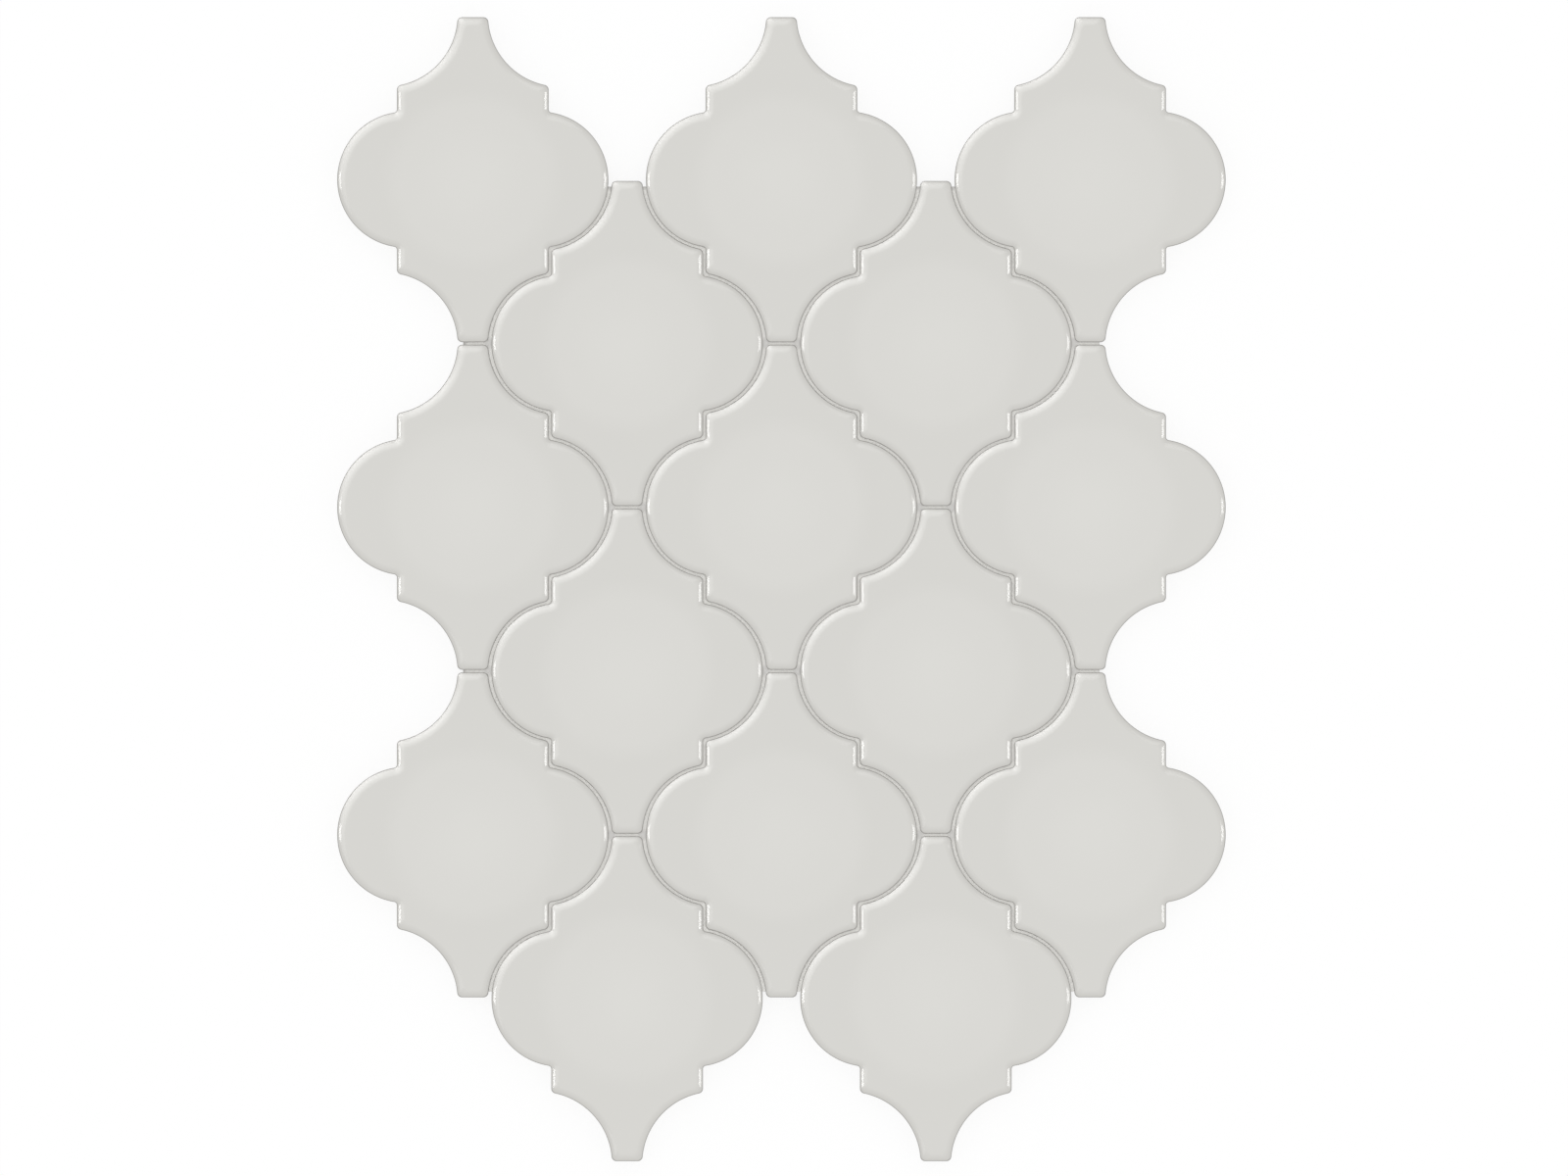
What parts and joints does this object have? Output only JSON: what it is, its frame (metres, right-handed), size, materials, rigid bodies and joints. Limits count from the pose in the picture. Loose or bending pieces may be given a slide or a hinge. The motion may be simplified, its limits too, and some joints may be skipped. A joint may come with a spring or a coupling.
{
  "type": "arabesque mosaic tile sheet",
  "caption": "Mosaic sheet of interlocking glazed arabesque tiles with cushion edges, bonded edge to edge by a flexible pale grey joint web, for facing walls and floors.",
  "frame": {"origin": "under the middle of the sheet's box, in the plane of the tile backs", "axes": "+X across the sheet to the right, +Y up the sheet from tip to tip, +Z out of the glazed faces"},
  "size_m": [0.254, 0.327, 0.0065],
  "materials": {
    "glazed_tile": "gloss",
    "joint_web": "matte"
  },
  "bodies": {
    "root": {"tile_col1_row1": "glazed_tile", "tile_col1_row2": "glazed_tile", "tile_col1_row3": "glazed_tile", "tile_col2_row1": "glazed_tile", "tile_col2_row2": "glazed_tile", "tile_col2_row3": "glazed_tile", "tile_col3_row1": "glazed_tile", "tile_col3_row2": "glazed_tile", "tile_col3_row3": "glazed_tile", "tile_col4_row1": "glazed_tile", "tile_col4_row2": "glazed_tile", "tile_col4_row3": "glazed_tile", "tile_col5_row1": "glazed_tile", "tile_col5_row2": "glazed_tile", "tile_col5_row3": "glazed_tile", "joint_web": "joint_web"}
  },
  "joints": []
}
